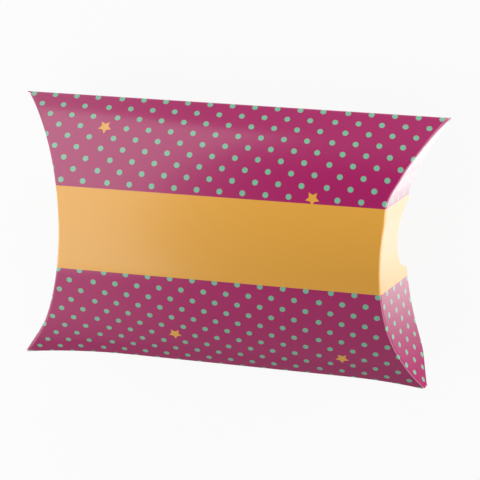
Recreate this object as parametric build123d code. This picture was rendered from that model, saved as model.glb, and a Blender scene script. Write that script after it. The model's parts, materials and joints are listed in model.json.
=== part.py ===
from build123d import *
import os
from math import cos, hypot, radians, sin

# Pillow box folded from one sheet of carton board, lying on the crown of its back panel.
# X runs along the box, Y across it between the two long folds, Z up through its thickness.
# The shapes are drawn about the middle of the box and raised onto the table when they are written.

# Box, in millimetres
box_length = 160.0         # from corner tip to corner tip along a long fold
box_width = 102.0          # between the two long folds
box_depth = 42.0           # from crown to crown
end_arc_depth = 20.4       # how far the middle of an end crease lies in from the corner tips
board = 0.4                # thickness of the board
overrun = 5.0              # how far every cutting shape runs past what it cuts

# Long folds and glued seam
fold_radius = 0.8          # outside of the folded board
fold_band = 1.6            # width of the scored strip on each side of a fold
raw_edge_setback = 0.7     # from the fold's sharp corner to the cut edge of the back panel
tab_width = 13.0
tab_setback = 4.0          # from the corner tip to the end of the tab at its fold
tab_taper = 10.0           # how much each end of the tab draws in over its width
glue_thickness = 0.1
glue_width = 8.0
glue_margin = 2.0          # bare board left round the line of glue

# End flaps
hinge_gap = 0.4            # running gap between a crease and its flap
outer_flap_angle = 76.0    # degrees from the length of the box, closed
outer_flap_reach = 14.4    # free edge past the line between the corner tips
outer_flap_shoulder = 12.0 # from the line of the tip to where the free edge levels off
outer_flap_radius = 18.0   # rounded corners of the free edge
outer_flap_relief = 2.0    # from the corner tip to the side of the flap
inner_flap_angle = 96.0
inner_flap_reach = 9.0
inner_flap_shoulder = 21.0
inner_flap_radius = 14.0
inner_flap_relief = 6.0
side_corner_radius = 1.0

# Thumb notch in each outer flap
notch_radius = 12.5
notch_offset = 4.4         # from the middle of the flap towards the upper long fold
notch_corner_radius = 1.2

half_length = box_length / 2
half_width = box_width / 2
half_depth = box_depth / 2

# Each panel is a bow of constant radius, whose axis lies beyond the opposite panel.
panel_radius = (half_width ** 2 + half_depth ** 2) / (2 * half_depth)
axis_drop = panel_radius - half_depth

# Each end crease lies in a plane that leans in from the corner tips to the crown.
crease_rise = hypot(end_arc_depth, half_depth)


def crease_plane():
    """Plane of the right front crease, with its X along the tips and its Y up to the crown."""
    return Plane(
        origin=(half_length, 0, 0),
        x_dir=(0, 1, 0),
        z_dir=(half_depth, 0, end_arc_depth),
    )


def crease_ellipse(setback):
    """The bowed panel cut by the crease plane, moved down the slope by the setback."""
    steepness = crease_rise / half_depth
    centre = -axis_drop * steepness - setback
    return Pos(0, centre) * Ellipse(panel_radius, panel_radius * steepness)


def end_waste():
    """What the front crease cuts away from the front half of a sleeve as long as the tips."""
    above_tips = Pos(0, crease_rise) * Rectangle(box_width, 2 * crease_rise)
    segment = crease_ellipse(0) & above_tips
    waste = extrude(crease_plane() * segment, amount=crease_rise, both=True)
    return split(waste, bisect_by=Plane.XY, keep=Keep.TOP)


def all_end_waste():
    """The waste of the right front crease, and its copies at the left end and on the back."""
    right_front = end_waste()
    left_front = mirror(right_front, about=Plane.YZ)
    front = [right_front, left_front]
    back = [mirror(waste, about=Plane.XY) for waste in front]
    return front, back


def lens(front_inset, back_inset, corner_radius):
    """Cross-section of the sleeve, drawn in from its outside by an inset for each panel."""
    front = Pos(0, -axis_drop) * Circle(panel_radius - front_inset)
    back = Pos(0, axis_drop) * Circle(panel_radius - back_inset)
    section = front & back
    if corner_radius > 0:
        section = fillet(section.vertices(), corner_radius)
    return section


def window(low_y, high_y, low_z, high_z):
    """A rectangle of the cross-section, given by its sides."""
    middle = Pos((low_y + high_y) / 2, (low_z + high_z) / 2)
    return middle * Rectangle(high_y - low_y, high_z - low_z)


def along_box(section, wastes):
    """A cross-section drawn out from tip to tip and trimmed at the end creases."""
    solid = extrude(Plane.YZ * section, amount=half_length, both=True)
    for waste in wastes:
        solid = solid - waste
    return solid


def sleeve_section():
    """Board of the two panels and of the upper long fold between them."""
    inside_radius = fold_radius - board
    return lens(0, 0, fold_radius) - lens(board, board, inside_radius)


def seam_section():
    """Board that turns from the front panel, round the lower fold, to the tab inside the back."""
    seam = board + glue_thickness
    inside_radius = fold_radius - board
    return lens(0, seam, fold_radius) - lens(board, seam + board, inside_radius)


def make_front_panel(front_wastes):
    edge = half_width - fold_band
    section = sleeve_section() & window(-edge, edge, 0, box_depth)
    return along_box(section, front_wastes)


def make_back_panel(back_wastes):
    """The back panel ends in a raw edge beside the lower fold, over the tab."""
    edge = half_width - fold_band
    raw_edge = half_width - raw_edge_setback
    square_cornered = lens(0, 0, 0) - lens(board, board, 0)
    section = square_cornered & window(-raw_edge, edge, -box_depth, 0)
    return along_box(section, back_wastes)


def make_upper_fold(wastes):
    edge = half_width - fold_band
    section = sleeve_section() & window(edge, box_width, -box_depth, box_depth)
    return along_box(section, wastes)


def make_lower_fold(wastes):
    edge = half_width - fold_band
    section = seam_section() & window(-box_width, -edge, -box_depth, box_depth)
    return along_box(section, wastes)


def tab_outline():
    """The tab seen in plan, drawing in at both ends from the lower fold to its inner edge."""
    fold_edge = -half_width
    inner_edge = fold_edge + fold_band + tab_width
    long_side = half_length - tab_setback
    short_side = long_side - tab_taper
    corners = [
        (-long_side, fold_edge),
        (long_side, fold_edge),
        (short_side, inner_edge),
        (-short_side, inner_edge),
    ]
    return extrude(make_face(Polyline(*corners, close=True)), amount=box_depth, both=True)


def make_glue_tab():
    """Unprinted tab on the lower fold, bowed like the back panel that it is glued to."""
    start = -half_width + fold_band
    section = seam_section() & window(start, start + tab_width, -box_depth, 0)
    band = extrude(Plane.YZ * section, amount=half_length, both=True)
    return band & tab_outline()


def make_glue_line():
    """Film of glue between the tab and the back panel."""
    start = -half_width + fold_band + glue_margin
    film = lens(board, board, fold_radius) - lens(board, board + glue_thickness, fold_radius)
    section = film & window(start, start + glue_width, -box_depth, 0)
    length = half_length - tab_setback - tab_taper - glue_margin
    return extrude(Plane.YZ * section, amount=length, both=True)


def flap_board(angle, reach):
    """Bowed board of a front flap: the crease carried along the flap's own direction."""
    across = radians(angle)
    direction = (cos(across), 0, -sin(across))
    hollow = end_arc_depth * sin(across) - half_depth * cos(across)
    root = end_arc_depth * cos(across) + half_depth * sin(across)
    flattening = hollow / half_depth
    outer_face = Ellipse(panel_radius, panel_radius * flattening)
    inner_face = Ellipse(panel_radius + board, panel_radius * flattening + board)
    bowed = Pos(0, axis_drop * flattening) * (inner_face - outer_face)
    half = Pos(0, -half_depth) * Rectangle(box_width, box_depth)
    section_plane = Plane(
        origin=(half_length, 0, 0), x_dir=(0, 1, 0), z_dir=direction
    ).offset(-root)
    return extrude(section_plane * (bowed & half), amount=root + reach + overrun)


def flap_outline(reach, shoulder, corner_radius, relief):
    """Die-cut outline of a flap, seen square on: a free edge with rounded shoulders."""
    half_top = half_width - shoulder
    side = half_width - relief
    side_top = reach * relief / shoulder
    root = crease_rise + overrun
    corners = [
        (-side, -root),
        (side, -root),
        (side, side_top),
        (half_top, reach),
        (-half_top, reach),
        (-side, side_top),
    ]
    face = make_face(Polyline(*corners, close=True))
    face = fillet(face.vertices().group_by(Axis.Y)[1], side_corner_radius)
    return fillet(face.vertices().group_by(Axis.Y)[-1], corner_radius)


def cut_flap(angle, reach, outline):
    """A right front flap: bowed board, cut to its outline and hung below the front crease."""
    across = radians(angle)
    face_plane = Plane(
        origin=(half_length, 0, 0),
        x_dir=(0, 1, 0),
        z_dir=(-sin(across), 0, -cos(across)),
    )
    cutter = extrude(face_plane * outline, amount=box_depth, both=True)
    below_crease = extrude(
        crease_plane() * crease_ellipse(hinge_gap), amount=box_depth, both=True
    )
    return flap_board(angle, reach) & cutter & below_crease


def make_outer_flap():
    outline = flap_outline(
        outer_flap_reach, outer_flap_shoulder, outer_flap_radius, outer_flap_relief
    )
    outline = outline - Pos(notch_offset, outer_flap_reach) * Circle(notch_radius)
    notch_ends = outline.vertices().group_by(Axis.Y)[-1].sort_by(Axis.X)[1:3]
    outline = fillet(notch_ends, notch_corner_radius)
    return cut_flap(outer_flap_angle, outer_flap_reach, outline)


def make_inner_flap():
    """Plain flap of the back panel, drawn on the front and turned over to the back."""
    outline = flap_outline(
        inner_flap_reach, inner_flap_shoulder, inner_flap_radius, inner_flap_relief
    )
    flap = cut_flap(inner_flap_angle, inner_flap_reach, outline)
    return mirror(flap, about=Plane.XY)


def make_parts():
    front_wastes, back_wastes = all_end_waste()
    outer_flap = make_outer_flap()
    inner_flap = make_inner_flap()
    return {
        "front_panel": make_front_panel(front_wastes),
        "back_panel": make_back_panel(back_wastes),
        "upper_fold": make_upper_fold(front_wastes + back_wastes),
        "lower_fold": make_lower_fold(front_wastes + back_wastes),
        "glue_tab": make_glue_tab(),
        "glue_line": make_glue_line(),
        "right_outer_flap": outer_flap,
        "left_outer_flap": mirror(outer_flap, about=Plane.YZ),
        "right_inner_flap": inner_flap,
        "left_inner_flap": mirror(inner_flap, about=Plane.YZ),
    }


os.makedirs("parts", exist_ok=True)
for node, solid in make_parts().items():
    on_table = Pos(0, 0, half_depth) * solid
    export_step(on_table, f"parts/{node}.step")
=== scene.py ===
import json
from math import asin, atan2, cos, pi, radians, sin, sqrt

import bpy
from mathutils import Matrix, Vector


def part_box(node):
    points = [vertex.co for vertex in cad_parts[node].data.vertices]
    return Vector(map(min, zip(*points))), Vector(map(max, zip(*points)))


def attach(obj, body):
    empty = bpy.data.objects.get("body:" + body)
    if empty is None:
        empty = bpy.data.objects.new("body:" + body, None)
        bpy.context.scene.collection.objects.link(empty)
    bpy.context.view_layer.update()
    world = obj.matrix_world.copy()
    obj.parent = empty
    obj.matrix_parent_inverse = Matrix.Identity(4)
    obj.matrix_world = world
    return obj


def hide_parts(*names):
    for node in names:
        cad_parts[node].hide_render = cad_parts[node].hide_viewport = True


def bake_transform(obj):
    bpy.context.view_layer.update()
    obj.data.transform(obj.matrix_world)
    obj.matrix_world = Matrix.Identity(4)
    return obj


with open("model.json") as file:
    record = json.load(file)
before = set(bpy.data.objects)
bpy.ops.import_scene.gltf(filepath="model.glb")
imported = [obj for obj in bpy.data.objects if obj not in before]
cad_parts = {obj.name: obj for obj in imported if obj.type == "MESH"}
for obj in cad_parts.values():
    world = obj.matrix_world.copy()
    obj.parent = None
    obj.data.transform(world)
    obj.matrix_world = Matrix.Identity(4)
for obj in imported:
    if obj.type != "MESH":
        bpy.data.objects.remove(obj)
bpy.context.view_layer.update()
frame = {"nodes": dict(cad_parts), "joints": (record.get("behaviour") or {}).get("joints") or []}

# Front panel, with the print
# One face of a pillow box folded from a single sheet of white-backed carton board, 0.4 mm thick.
# The sheet is offset printed, laminated with gloss film, die-cut and creased, and the panel bows
# between its two curved end creases. Each piece is laid out flat on the blank, then folded up.
mm = 0.001
half_length = 80 * mm
half_width = 51 * mm
half_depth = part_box("front_panel")[1].z / 2
right_crease = next(joint for joint in frame["joints"] if joint["name"] == "right_outer_crease")
end_arc_depth = half_length - Vector(right_crease["pos_m"]).x
board = 0.4 * mm
fold_band = 1.6 * mm
bow_radius = (half_width ** 2 + half_depth ** 2) / (2 * half_depth)
axis_drop = bow_radius - half_depth
crease_bend_middle = 0.7 * mm
crease_bend_tip = 2.2 * mm
crease_hollow_share = 0.1
crease_swells = {
    "left": [(-46, 12, 1.1)],
    "right": [(-6, 30, 0.8), (21.5, 9, -1.1), (42, 12, 1.0)],
    "back": [],
}
lower_flare = {"left": 3.2 * mm, "right": 2.0 * mm}
flare_start = {"left": 36 * mm, "right": 50 * mm}
flare_middle = 12 * mm
flap_side = {"front": 49.8 * mm, "back": 45 * mm}
relief_ramp = 0.5 * mm
panel_columns = 8
row_step = 1.1 * mm
least_row_gap = 0.2 * mm
smooth_below = radians(40)
thumb_notch_radius = 12.5 * mm
thumb_notch_offset = 4.4 * mm
thumb_notch_corner = 1.2 * mm
notch_steps = 36
notch_corner_steps = 7
notch_corner_step_share = 0.25


def linear(hex_colour):
    """An sRGB hex colour as linear RGBA."""
    channels = [int(hex_colour[i:i + 2], 16) / 255 for i in (0, 2, 4)]
    return [c / 12.92 if c <= 0.04045 else ((c + 0.055) / 1.055) ** 2.4 for c in channels] + [1]


def add_node(tree, kind, links=None, out=0, **settings):
    """Adds a node with its settings, values and links, and returns the output that is asked for."""
    node = tree.nodes.new(kind)
    for name, value in settings.items():
        setattr(node, name, value)
    for name, value in (links or {}).items():
        if isinstance(value, bpy.types.NodeSocket):
            tree.links.new(value, node.inputs[name])
        else:
            node.inputs[name].default_value = value
    return node.outputs[out] if node.outputs else None


def bow_point(across):
    """A place across the blank's front panel, folded up, at the middle of the box's length."""
    y = bow_radius * sin(across / bow_radius)
    z = half_depth + bow_radius * cos(across / bow_radius) - axis_drop
    return Vector((0, y, z))


def crease_x(y, z, end):
    """How far out an end crease lies, at a place on either panel. The front ones, folded by hand,
    swell in and out of their die lines: where, over how far, and by how many mm are listed."""
    rise = abs(z - half_depth) / half_depth
    x = half_length - end_arc_depth * rise * (1 + crease_hollow_share * (1 - rise))
    if z > half_depth:
        for middle, reach, swell in crease_swells[end]:
            x += swell * mm * max(0, 1 - ((y / mm - middle) / reach) ** 2) ** 2
    return x


def crease_bend(y):
    """Half the width of the rounded crease: the board turns more gently towards the tips."""
    return crease_bend_middle + (crease_bend_tip - crease_bend_middle) * abs(y / half_width) ** 3


def sheet_x(share, y, z):
    """Along a panel or fold: it ends just short of the crease, and at it past the flap's side."""
    side = flap_side["front" if z > half_depth else "back"]
    beside_flap = min(max((side + relief_ramp - abs(y)) / relief_ramp, 0), 1)
    left, right = (crease_x(y, z, end) - beside_flap * crease_bend(y) for end in ("left", "right"))
    return share * right - (1 - share) * left


def from_crease(point):
    """How far out of the nearer end crease a point of a panel or fold lies: below zero, if inside."""
    return abs(point.x) - crease_x(point.y, point.z, "right" if point.x > 0 else "left")


def sprung(point):
    """The lower long fold is a little sprung: it flares towards both ends of the box."""
    end = "right" if point.x > 0 else "left"
    out = max(0, (abs(point.x) - flare_start[end]) / (half_length - flare_start[end]))
    down = min(max(0, (-point.y - flare_middle) / (half_width - flare_middle)), 1)
    return point - Vector((0, lower_flare[end] * out ** 2 * down ** 2 * (3 - 2 * down), 0))


def sheet_of_board(name, columns, rows, place):
    """A grid of columns along the box and rows across it, each vertex set where place says.
    The print attribute keeps, in millimetres, how far along and across the blank it lies, and
    how far out from the end crease."""
    bpy.ops.object.select_all(action="DESELECT")
    bpy.ops.mesh.primitive_grid_add(x_subdivisions=columns, y_subdivisions=len(rows) - 1, size=1)
    piece = bpy.context.object
    piece.name = piece.data.name = name
    printed = piece.data.attributes.new("print", "FLOAT_VECTOR", "POINT")
    for vertex in piece.data.vertices:
        share = vertex.co.x + 0.5
        across = rows[round((vertex.co.y + 0.5) * (len(rows) - 1))]
        point, on_blank = place(share, across)
        vertex.co = sprung(point)
        printed.data[vertex.index].vector = Vector(on_blank) / mm
    return piece


def finish_board(piece):
    """Gives the printed sheet its thickness, with a white inside and cut edges, and smooth faces."""
    piece.data.materials.clear()
    for material in (print_face, bare_face, cut_face):
        piece.data.materials.append(material)
    bpy.ops.object.select_all(action="DESELECT")
    piece.select_set(True)
    bpy.context.view_layer.objects.active = piece
    thickness = piece.modifiers.new("board", "SOLIDIFY")
    thickness.thickness = board
    thickness.offset = -1
    thickness.use_even_offset = True
    thickness.material_offset = 1
    thickness.material_offset_rim = 2
    bpy.ops.object.modifier_apply(modifier=thickness.name)
    bpy.ops.object.shade_smooth_by_angle(angle=smooth_below)


def front_rows(limit):
    """Rows across the front, close together at the corners of the thumb notch."""
    count = int(limit / row_step)
    rows = [row_step * i for i in range(-count, count + 1)]
    clear = thumb_notch_radius + 2 * thumb_notch_corner
    rows = [r for r in rows if abs(r - thumb_notch_offset) > clear]
    turns = [i * pi / notch_steps for i in range(-notch_steps // 2, notch_steps // 2 + 1)]
    rows += [thumb_notch_offset + thumb_notch_radius * sin(t) for t in turns]
    steps = range(1, notch_corner_steps + 1)
    past = [notch_corner_step_share * i * thumb_notch_corner for i in steps]
    for side in (-1, 1):
        rows += [thumb_notch_offset + side * (thumb_notch_radius + p) for p in past]
    rows = sorted(r for r in rows if abs(r) < limit - least_row_gap)
    return [-limit] + rows + [limit]


panel_limit = bow_radius * asin((half_width - fold_band) / bow_radius)


def front_panel_place(share, across):
    point = bow_point(across)
    point.x = sheet_x(share, point.y, point.z)
    return point, (point.x, across, from_crease(point))


# The print is common on gift boxes: staggered dots, a plain band and a few small stars. The dots are
# laid down in three repeats that don't quite meet. Sizes of the print are in millimetres.
# The board's fibres, about 0.03 mm wide, are too fine to show: they are drawn as a coarser mottle.
dot_pitch = 8.475
dot_row_step = 4.26
dot_radius = 1.06
dot_lean_share = 0.0055
first_dot = (0.35, 55.15)
repeat_joins = (-48.75, 36.7)
repeat_slips = (-0.93, 0.68)
band_middle = 3.3
band_half = 15.7
band_lean_share = 0.0045
star_places = [(-45.9, 42.5), (34.5, 21.1), (-16.1, -38.5), (47.6, -43.3)]
star_points = 5
star_radius = 2.65
star_waist_share = 0.5
ink_edge = 0.07
# The light line along the end creases, partly ink worn down to the board and partly a painted highlight of
# the rounded crease: how far it reaches in mm, and how much white.
worn_and_highlight_crease = 0.55
worn_and_highlight_share = 0.15
film_mottle = 0.5
film_relief = 0.1
film_relief_strength = 0.08
magenta_ink = "A0165C"
teal_ink = "74B294"
amber_ink = "DC9F3C"
white_board = "F4F2EE"


def from_star(tree, blank, middle):
    """How far a place lies outside a five-pointed star with a point down."""
    waist = star_waist_share * star_radius
    half_point = pi / star_points
    side = Vector((waist * cos(half_point) - star_radius, waist * sin(half_point)))
    lean = atan2(-side.x, side.y)
    place = add_node(tree, "ShaderNodeVectorMath", {0: blank, 1: (*middle, 0)}, operation="SUBTRACT")
    radius = add_node(tree, "ShaderNodeVectorMath", {0: place}, "Value", operation="LENGTH")
    quarter = add_node(tree, "ShaderNodeMapping", {"Vector": place, "Rotation": (0, 0, -pi / 2)})
    turn = add_node(tree, "ShaderNodeTexGradient", {0: quarter}, "Fac", gradient_type="RADIAL")
    fold_turn = 1 / (2 * star_points)
    folded = add_node(tree, "ShaderNodeMath", {0: turn, 1: fold_turn}, operation="PINGPONG")
    angle = add_node(
        tree, "ShaderNodeMath", {0: folded, 1: 2 * pi, 2: -lean}, operation="MULTIPLY_ADD"
    )
    level = add_node(tree, "ShaderNodeMath", {0: angle}, operation="COSINE")
    return add_node(
        tree,
        "ShaderNodeMath",
        {0: radius, 1: level, 2: -star_radius * cos(lean)},
        operation="MULTIPLY_ADD",
    )


def from_dots(tree, blank):
    """How far a place lies outside the nearest dot."""
    along = add_node(tree, "ShaderNodeSeparateXYZ", {0: blank}, "X")
    across = add_node(tree, "ShaderNodeSeparateXYZ", {0: blank}, "Y")
    left = add_node(tree, "ShaderNodeMath", {0: along, 1: repeat_joins[0]}, operation="LESS_THAN")
    right = add_node(tree, "ShaderNodeMath", {0: along, 1: repeat_joins[1]}, operation="GREATER_THAN")
    slip = add_node(
        tree, "ShaderNodeMath", {0: across, 1: dot_lean_share, 2: 0}, operation="MULTIPLY_ADD"
    )
    for beyond, size in ((left, repeat_slips[0]), (right, repeat_slips[1])):
        slip = add_node(tree, "ShaderNodeMath", {0: beyond, 1: size, 2: slip}, operation="MULTIPLY_ADD")
    slips = add_node(tree, "ShaderNodeCombineXYZ", {"X": slip})
    place = add_node(tree, "ShaderNodeVectorMath", {0: blank, 1: slips}, operation="SUBTRACT")
    nearest = None
    for phase in (0, 1):
        first = (first_dot[0] + phase * dot_pitch / 2, first_dot[1] + phase * dot_row_step, 0)
        cell = (dot_pitch / 2, dot_row_step, 1)
        start = add_node(tree, "ShaderNodeVectorMath", {0: place, 1: first}, operation="SUBTRACT")
        in_cell = add_node(
            tree,
            "ShaderNodeVectorMath",
            {0: start, 1: cell, 2: [-c for c in cell]},
            operation="WRAP",
        )
        radius = add_node(tree, "ShaderNodeVectorMath", {0: in_cell}, "Value", operation="LENGTH")
        nearest = nearest or radius
        nearest = add_node(tree, "ShaderNodeMath", {0: nearest, 1: radius}, operation="MINIMUM")
    return add_node(tree, "ShaderNodeMath", {0: nearest, 1: dot_radius}, operation="SUBTRACT")


def from_band(tree, blank):
    """How far a place lies outside the plain band."""
    along = add_node(tree, "ShaderNodeSeparateXYZ", {0: blank}, "X")
    across = add_node(tree, "ShaderNodeSeparateXYZ", {0: blank}, "Y")
    middle = add_node(
        tree, "ShaderNodeMath", {0: along, 1: band_lean_share, 2: band_middle}, operation="MULTIPLY_ADD"
    )
    place = add_node(tree, "ShaderNodeMath", {0: across, 1: middle}, operation="SUBTRACT")
    away = add_node(tree, "ShaderNodeMath", {0: place}, operation="ABSOLUTE")
    return add_node(tree, "ShaderNodeMath", {0: away, 1: band_half}, operation="SUBTRACT")


def gloss_laminated_print():
    """Offset inks under gloss film: a smooth, wet-looking surface that mirrors white at a low angle.
    Along the end creases the print is lightened towards the white board: partly worn ink, partly a painted
    highlight of the rounded crease."""
    material = bpy.data.materials.new("gloss_laminated_offset_print")
    material.use_nodes = True
    tree = material.node_tree
    tree.nodes.clear()
    place = add_node(tree, "ShaderNodeAttribute", out="Vector", attribute_name="print")
    blank = add_node(tree, "ShaderNodeVectorMath", {0: place, 1: (1, 1, 0)}, operation="MULTIPLY")
    amber_edge = from_band(tree, blank)
    for middle in star_places:
        star = from_star(tree, blank, middle)
        amber_edge = add_node(tree, "ShaderNodeMath", {0: amber_edge, 1: star}, operation="MINIMUM")
    colour = linear(magenta_ink)
    for ink, edge in ((teal_ink, from_dots(tree, blank)), (amber_ink, amber_edge)):
        amount = add_node(
            tree,
            "ShaderNodeMapRange",
            {"Value": edge, "From Min": ink_edge, "From Max": -ink_edge},
            interpolation_type="SMOOTHSTEP",
        )
        colour = add_node(
            tree, "ShaderNodeMix", {0: amount, 6: colour, 7: linear(ink)}, 2, data_type="RGBA"
        )
    fibres = add_node(
        tree, "ShaderNodeTexNoise", {"Vector": blank, "Scale": 1 / film_mottle, "Detail": 4}
    )
    # A light line along the end creases, mixed towards the white board: partly wear, partly a painted
    # highlight of the rounded crease.
    out = add_node(tree, "ShaderNodeSeparateXYZ", {0: place}, "Z")
    from_crease_line = add_node(tree, "ShaderNodeMath", {0: out}, operation="ABSOLUTE")
    worn_and_highlight = add_node(
        tree,
        "ShaderNodeMapRange",
        {"Value": from_crease_line, "From Min": worn_and_highlight_crease, "From Max": 0, "To Max": worn_and_highlight_share},
        interpolation_type="SMOOTHSTEP",
    )
    colour = add_node(
        tree, "ShaderNodeMix", {0: worn_and_highlight, 6: colour, 7: linear(white_board)}, 2, data_type="RGBA"
    )
    relief = add_node(
        tree,
        "ShaderNodeBump",
        {"Height": fibres, "Strength": film_relief_strength, "Distance": film_relief * mm},
    )
    shader = add_node(
        tree,
        "ShaderNodeBsdfPrincipled",
        {
            "Base Color": colour,
            "Roughness": 0.18,
            "IOR": 1.5,
            "Coat Weight": 1.0,
            "Coat Roughness": 0.15,
            "Coat IOR": 1.6,
            "Normal": relief,
            "Coat Normal": relief,
        },
    )
    add_node(tree, "ShaderNodeOutputMaterial", {"Surface": shader})
    return material


# The inside and the cut edges are the bare board.
cut_board = "EDEAE4"
board_mottle = 0.7 * mm
edge_mottle = 0.25 * mm
mottle_shade_share = 0.93
mottle_relief_share = 1 / 6


def matt_mottled(name, colour, mottle):
    """Bare carton, its cut edge or dried glue: matt to the eye, with a faint mottle of the size given."""
    material = bpy.data.materials.new(name)
    material.use_nodes = True
    tree = material.node_tree
    tree.nodes.clear()
    place = add_node(tree, "ShaderNodeTexCoord", out="Object")
    fibres = add_node(tree, "ShaderNodeTexNoise", {"Vector": place, "Scale": 1 / mottle, "Detail": 6})
    shaded = [mottle_shade_share * c for c in linear(colour)[:3]] + [1]
    mottled = add_node(
        tree, "ShaderNodeMix", {0: fibres, 6: shaded, 7: linear(colour)}, 2, data_type="RGBA"
    )
    relief = add_node(
        tree,
        "ShaderNodeBump",
        {"Height": fibres, "Strength": 0.15, "Distance": mottle * mottle_relief_share},
    )
    shader = add_node(
        tree,
        "ShaderNodeBsdfPrincipled",
        {"Base Color": mottled, "Roughness": 0.85, "Normal": relief},
    )
    add_node(tree, "ShaderNodeOutputMaterial", {"Surface": shader})
    return material


print_face = gloss_laminated_print()
bare_face = matt_mottled("uncoated_white_carton", white_board, board_mottle)
cut_face = matt_mottled("die_cut_carton_edge", cut_board, edge_mottle)

front_panel = sheet_of_board(
    "front_panel_board", panel_columns, front_rows(panel_limit), front_panel_place
)
finish_board(front_panel)
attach(front_panel, "sleeve")
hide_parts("front_panel")

# Back panel
# The other face of the same laminated sheet, taken to carry the same print as the front. Its lower
# edge is the raw, die-cut edge of the blank. It stops just short of the lower fold and is glued down
# over the tab.
raw_edge_setback = 0.7 * mm
raw_edge = bow_radius * asin((half_width - raw_edge_setback) / bow_radius)


def back_panel_place(share, across):
    point = bow_point(across)
    point.z = 2 * half_depth - point.z
    point.x = sheet_x(1 - share, point.y, point.z)
    return point, (point.x, across, from_crease(point))


back_rows = [-raw_edge] + front_rows(panel_limit)
back_panel = sheet_of_board("back_panel_board", panel_columns, back_rows, back_panel_place)
finish_board(back_panel)
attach(back_panel, "sleeve")
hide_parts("back_panel")

# Long folds
# Straight creases between the panels, pressed into the board by a rule and folded to a small radius.
# The upper one joins the two panels. The lower one turns from the front panel to the glue tab,
# which lies inside the back panel.
fold_radius = 0.8 * mm
glue_gap = 0.1 * mm
fold_columns = 24
straight_steps = 3
round_steps = 8


def fold_path(side, back_inset):
    """The outside of a fold in cross-section, from the front panel's edge to the back panel's or tab's."""
    front_axis = Vector((0, -axis_drop))
    back_axis = Vector((0, axis_drop))
    front_reach = bow_radius - fold_radius
    back_radius = bow_radius - back_inset
    back_reach = back_radius - fold_radius
    rise = (front_reach ** 2 - back_reach ** 2) / (4 * axis_drop)
    middle = Vector((sqrt(front_reach ** 2 - (rise + axis_drop) ** 2), rise))

    def arc(axis, radius, start, end, steps):
        """Points from one direction to another round an axis."""
        first = atan2(start.y - axis.y, start.x - axis.x)
        last = atan2(end.y - axis.y, end.x - axis.x)
        turns = [first + (last - first) * i / steps for i in range(steps + 1)]
        return [axis + radius * Vector((cos(t), sin(t))) for t in turns]

    edge_y = half_width - fold_band
    front_edge = Vector((edge_y, sqrt(bow_radius ** 2 - edge_y ** 2) - axis_drop))
    back_edge = Vector((edge_y, axis_drop - sqrt(back_radius ** 2 - edge_y ** 2)))
    front_touch = front_axis + (middle - front_axis).normalized() * bow_radius
    back_touch = back_axis + (middle - back_axis).normalized() * back_radius
    path = arc(front_axis, bow_radius, front_edge, front_touch, straight_steps)
    path += arc(middle, fold_radius, front_touch, back_touch, round_steps)[1:]
    path += arc(back_axis, back_radius, back_touch, back_edge, straight_steps)[1:]
    return [Vector((side * p.x, p.y)) for p in path]


def fold_place(side, path):
    """A place on a long fold, given the number of the point on its path."""
    lengths = [0]
    for a, b in zip(path, path[1:]):
        lengths.append(lengths[-1] + (b - a).length)

    def place(share, number):
        y, z = path[number].x, half_depth + path[number].y
        x = sheet_x(share if side > 0 else 1 - share, y, z)
        from_edge = min(lengths[number], lengths[-1] - lengths[number])
        point = Vector((x, y, z))
        return point, (x, side * (panel_limit + from_edge), from_crease(point))
    return place


for name, side, back_inset in (("upper_fold", 1, 0), ("lower_fold", -1, board + glue_gap)):
    path = fold_path(side, back_inset)
    fold = sheet_of_board(name + "_board", fold_columns, range(len(path)), fold_place(side, path))
    finish_board(fold)
    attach(fold, "sleeve")
    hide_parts(name)

# Glue tab and glue
# A narrow unprinted flap of the blank under the back panel's edge, of bare white carton, and the line
# of dried white glue on it that closes the sleeve. Both keep the solids' own shapes.
glue_colour = "E6E1CF"
glue_mottle = 1.1 * mm

dried_glue = matt_mottled("dried_carton_glue", glue_colour, glue_mottle)
for name, material in (("glue_tab", bare_face), ("glue_line", dried_glue)):
    node = frame["nodes"][name]
    node.data.materials.clear()
    node.data.materials.append(material)

# Outer flaps
# The flaps that show, one on each end of the front panel, with a thumb notch in the free edge.
# Each is the same printed sheet, turned in by hand along its curved crease. The board springs back
# a little, more towards one end of the crease than the other.
outer_flap_angle = 79.0
outer_flap_twist = 0.06
outer_flap_lower_twist = 0.12
outer_flap_ear = (44 * mm, 57 * mm)
outer_flap_ear_share = 0.7
outer_flap_ear_lift = 0.8
outer_flap_reach = 15.0 * mm
outer_flap_shoulder = 12.0 * mm
outer_flap_softness = 5 * mm
left_flap_angle = 84.0
bend_columns = 8
flap_columns = 38
least_flap = 0.3 * mm


def soft_least(a, b, softness):
    """The lesser of two lengths, with the corner between them rounded."""
    return (a + b - sqrt((a - b) ** 2 + softness ** 2)) / 2


def straight_cut(across, reach, shoulder, softness):
    """How far out the free edge lies along the blank, with its rounded shoulders."""
    slope = reach / shoulder * (half_width - abs(bow_point(across).y))
    return half_length + soft_least(reach, slope, softness)


def notch_depth(across):
    """How far the thumb notch cuts in from the straight free edge, with its rounded corners."""
    corner_middle = sqrt((thumb_notch_radius + thumb_notch_corner) ** 2 - thumb_notch_corner ** 2)
    corner_end = corner_middle * thumb_notch_radius / (thumb_notch_radius + thumb_notch_corner)
    from_middle = abs(across - thumb_notch_offset)
    if from_middle < corner_end:
        return sqrt(thumb_notch_radius ** 2 - from_middle ** 2)
    if from_middle < corner_middle:
        return thumb_notch_corner - sqrt(thumb_notch_corner ** 2 - (corner_middle - from_middle) ** 2)
    return 0


def outer_flap_edge(across):
    uncut = straight_cut(across, outer_flap_reach, outer_flap_shoulder, outer_flap_softness)
    return uncut - notch_depth(across)


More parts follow.
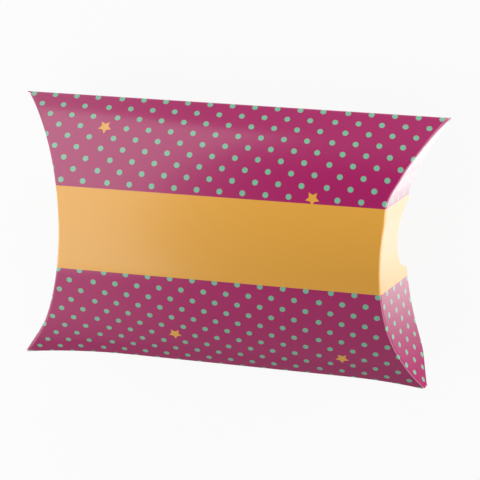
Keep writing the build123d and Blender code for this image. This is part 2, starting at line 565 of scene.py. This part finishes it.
def right_flap_direction(across):
    """Turned in and twisted by so many degrees for each millimetre across, with a flatter ear that is
    lifted out where the crease meets the upper fold."""
    ear = min(max(0, (across - outer_flap_ear[0]) / (outer_flap_ear[1] - outer_flap_ear[0])), 1)
    twist = outer_flap_twist if across > 0 else outer_flap_lower_twist
    turn = outer_flap_angle + twist * across / mm
    turn = radians(turn * (1 - outer_flap_ear_share * ear ** 2))
    return Vector((cos(turn), outer_flap_ear_lift * ear ** 2, -sin(turn))).normalized()


def turned_in(angle):
    """The direction of a flap that is turned in by one angle all along its crease."""
    direction = Vector((cos(radians(angle)), 0, -sin(radians(angle))))
    return lambda across: direction


def crease_place(across, end):
    """The point where a front crease crosses the bow, as if it were at the right end."""
    point = bow_point(across)
    point.x = crease_x(point.y, point.z, end)
    return point


def bent_crease(crease, direction, bend, share):
    """A point on the rounded crease, between the panel and the flap."""
    start = crease - Vector((bend, 0, 0))
    end = crease + direction * bend
    return start * (1 - share) ** 2 + crease * 2 * share * (1 - share) + end * share ** 2


def flap_place(end, direction_at, edge_at):
    """Places on a front flap: a few columns round the crease, then out to the free edge, which is
    always at least a little way past the crease."""
    def place(share, across):
        crease, direction = crease_place(across, end), direction_at(across)
        bend = crease_bend(crease.y)
        column = share * flap_columns
        if column <= bend_columns:
            bent = column / bend_columns
            along = crease.x + (2 * bent - 1) * bend
            return bent_crease(crease, direction, bend, bent), (along, across, along - crease.x)
        out = (column - bend_columns) / (flap_columns - bend_columns)
        length = bend + out * max(edge_at(across) - crease.x - bend, least_flap)
        return crease + direction * length, (crease.x + length, across, length)
    return place


def at_left_end(place):
    """The same sheet at the other end of the box."""
    def mirrored(share, across):
        point, flat = place(1 - share, across)
        return Vector((-point.x, point.y, point.z)), (-flat[0], flat[1], flat[2])
    return mirrored


def hang_flap(flap):
    """Bakes the flap's place into its mesh."""
    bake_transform(flap)


outer_rows = front_rows(bow_radius * asin(flap_side["front"] / bow_radius))
right_place = flap_place("right", right_flap_direction, outer_flap_edge)
left_place = at_left_end(flap_place("left", turned_in(left_flap_angle), outer_flap_edge))
for end, side, place in (("right", 1, right_place), ("left", -1, left_place)):
    flap = sheet_of_board(end + "_outer_flap_board", flap_columns, outer_rows, place)
    finish_board(flap)
    hang_flap(flap)
    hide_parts(end + "_outer_flap")

# Inner flaps
# The shorter plain flaps of the back panel, die-cut from the same printed sheet. They are folded in
# first, along the back's own curved creases, and lie behind the outer flaps.
inner_flap_angle = 96
inner_flap_reach = 9 * mm
inner_flap_shoulder = 21 * mm
inner_flap_softness = 4 * mm


def inner_flap_edge(across):
    return straight_cut(across, inner_flap_reach, inner_flap_shoulder, inner_flap_softness)


def turned_over(place):
    """The same sheet on the back of the box."""
    def over(share, across):
        point, flat = place(1 - share, across)
        return Vector((point.x, point.y, 2 * half_depth - point.z)), flat
    return over


inner_rows = front_rows(bow_radius * asin(flap_side["back"] / bow_radius))
inner_place = turned_over(flap_place("back", turned_in(inner_flap_angle), inner_flap_edge))
for end, side, place in (("right", 1, inner_place), ("left", -1, at_left_end(inner_place))):
    flap = sheet_of_board(end + "_inner_flap_board", flap_columns, inner_rows, place)
    finish_board(flap)
    hang_flap(flap)
    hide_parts(end + "_inner_flap")

# Camera
# A long lens, almost straight above the box, a little to its right and towards its upper fold,
# and turned a little.
camera_place = Vector((93.9, 105.4, 478.7)) * mm
camera_yaw = radians(10.95)
camera_pitch = radians(12.82)
camera_roll = radians(2.35)
camera_lens = 94.65
camera_sensor = 36

back = Vector((sin(camera_yaw) * cos(camera_pitch), sin(camera_pitch), cos(camera_yaw) * cos(camera_pitch)))
level = Vector((cos(camera_yaw), 0, -sin(camera_yaw)))
upright = back.cross(level)
to_right = level * cos(camera_roll) + upright * sin(camera_roll)
to_top = upright * cos(camera_roll) - level * sin(camera_roll)
camera_data = bpy.data.cameras.new("camera")
camera_data.lens = camera_lens
camera_data.sensor_width = camera_sensor
camera = bpy.data.objects.new("camera", camera_data)
bpy.context.collection.objects.link(camera)
camera.matrix_world = Matrix((to_right, to_top, back)).transposed().to_4x4()
camera.location = camera_place
bpy.context.scene.camera = camera

# Table and studio light
# A white table under the box, seen as plain white, that keeps the box's soft shadow. The room is
# white to the eye. In the gloss its walls are white at the left and the right, dimmer behind and in
# front, and dark overhead, as in a studio with black screens, so the inks stay deep.
table_size = 6.0
table_gap = 0.2 * mm
table_colour = "C8C8C8"
table_seen_share = 0.92
# Where the table's light in the gloss rises from front to back, and from what to what
table_front = (-50 * mm, -5 * mm)
table_gloss = (0.18, 1.3)
world_light = 0.45
screen_light = 0.06
back_wall_light = 0.3
front_wall_light = 0.25
# How far a direction leans along X or Y where a wall is dark and where it is white
left_wall = (-0.1, -0.45)
left_wall_end = (-1.15, -0.85)
right_wall = (0.3, 0.7)
right_wall_end = (0.95, 0.6)
back_wall = (0.5, 0.9)
front_wall = (-0.3, -0.7)
# Place, width and length, watts, and whether the gloss mirrors the lamp
soft_lamps = {
    "key_softbox": (Vector((-0.36, 0.38, 0.52)), (0.42, 1.56), 1.75, True),
    "left_fill": (Vector((-0.3, -0.1, 0.15)), (0.15, 0.4), 0.85, False),
    "right_fill": (Vector((0.86, 0.48, 0.14)), (0.3, 0.3), 11.7, False),
}


def seen_by_eye(tree):
    """1 for a ray that comes to the eye, straight or through something clear, else 0."""
    straight = add_node(tree, "ShaderNodeLightPath", out="Is Camera Ray")
    through = add_node(tree, "ShaderNodeLightPath", out="Is Transmission Ray")
    return add_node(tree, "ShaderNodeMath", {0: straight, 1: through}, operation="MAXIMUM")


bpy.ops.object.select_all(action="DESELECT")
bpy.ops.mesh.primitive_plane_add(size=table_size, location=(0, 0, -table_gap))
table = bpy.context.object
table.name = "table"
table_top = bpy.data.materials.new("white_table_top")
table_top.use_nodes = True
tree = table_top.node_tree
tree.nodes.clear()
matt = add_node(tree, "ShaderNodeBsdfDiffuse", {"Color": linear(table_colour)})
plain_white = add_node(tree, "ShaderNodeEmission", {"Color": (1, 1, 1, 1), "Strength": 1.0})
share = add_node(
    tree, "ShaderNodeMath", {0: seen_by_eye(tree), 1: table_seen_share}, operation="MULTIPLY"
)
to_the_eye = add_node(tree, "ShaderNodeMixShader", {0: share, 1: matt, 2: plain_white})
spot = add_node(tree, "ShaderNodeTexCoord", out="Object")
backwards = add_node(tree, "ShaderNodeSeparateXYZ", {0: spot}, "Y")
gloss_light = add_node(
    tree,
    "ShaderNodeMapRange",
    {
        "Value": backwards,
        "From Min": table_front[0],
        "From Max": table_front[1],
        "To Min": table_gloss[0],
        "To Max": table_gloss[1],
    },
    interpolation_type="SMOOTHSTEP",
)
in_the_gloss = add_node(tree, "ShaderNodeEmission", {"Color": (1, 1, 1, 1), "Strength": gloss_light})
glossy = add_node(tree, "ShaderNodeLightPath", out="Is Glossy Ray")
surface = add_node(tree, "ShaderNodeMixShader", {0: glossy, 1: to_the_eye, 2: in_the_gloss})
add_node(tree, "ShaderNodeOutputMaterial", {"Surface": surface})
table.data.materials.append(table_top)

world = bpy.data.worlds.new("studio")
bpy.context.scene.world = world
world.use_nodes = True
tree = world.node_tree
tree.nodes.clear()
direction = add_node(tree, "ShaderNodeTexCoord", out="Generated")
walls = {}
for name, axis, (dark, white) in (
    ("left", "X", left_wall),
    ("left_end", "Y", left_wall_end),
    ("right", "X", right_wall),
    ("right_end", "Y", right_wall_end),
    ("back", "Y", back_wall),
    ("front", "Y", front_wall),
):
    towards = add_node(tree, "ShaderNodeSeparateXYZ", {0: direction}, axis)
    walls[name] = add_node(
        tree,
        "ShaderNodeMapRange",
        {"Value": towards, "From Min": dark, "From Max": white},
        interpolation_type="SMOOTHSTEP",
    )
gloss_light = screen_light
for wall, light in (
    (walls["left"], walls["left_end"]),
    (walls["right"], walls["right_end"]),
    (walls["back"], back_wall_light),
    (walls["front"], front_wall_light),
):
    lit_wall = add_node(tree, "ShaderNodeMath", {0: wall, 1: light}, operation="MULTIPLY")
    gloss_light = add_node(tree, "ShaderNodeMath", {0: gloss_light, 1: lit_wall}, operation="MAXIMUM")
glossy = add_node(tree, "ShaderNodeLightPath", out="Is Glossy Ray")
strength = add_node(tree, "ShaderNodeMix", {0: glossy, 2: world_light, 3: gloss_light})
strength = add_node(tree, "ShaderNodeMix", {0: seen_by_eye(tree), 2: strength, 3: 1.0})
sky = add_node(tree, "ShaderNodeBackground", {"Color": (1, 1, 1, 1), "Strength": strength})
add_node(tree, "ShaderNodeOutputWorld", {"Surface": sky})

for name, (place, (width, length), power, mirrored) in soft_lamps.items():
    lamp_data = bpy.data.lights.new(name, "AREA")
    lamp_data.shape = "RECTANGLE"
    lamp_data.size = width
    lamp_data.size_y = length
    lamp_data.energy = power
    lamp = bpy.data.objects.new(name, lamp_data)
    bpy.context.collection.objects.link(lamp)
    lamp.location = place
    lamp.visible_glossy = mirrored
    if mirrored:
        lamp.rotation_euler = (0, atan2(place.x, place.z), 0)
    else:
        lamp.rotation_euler = place.to_track_quat("Z", "Y").to_euler()

bpy.context.scene.view_settings.view_transform = "Standard"
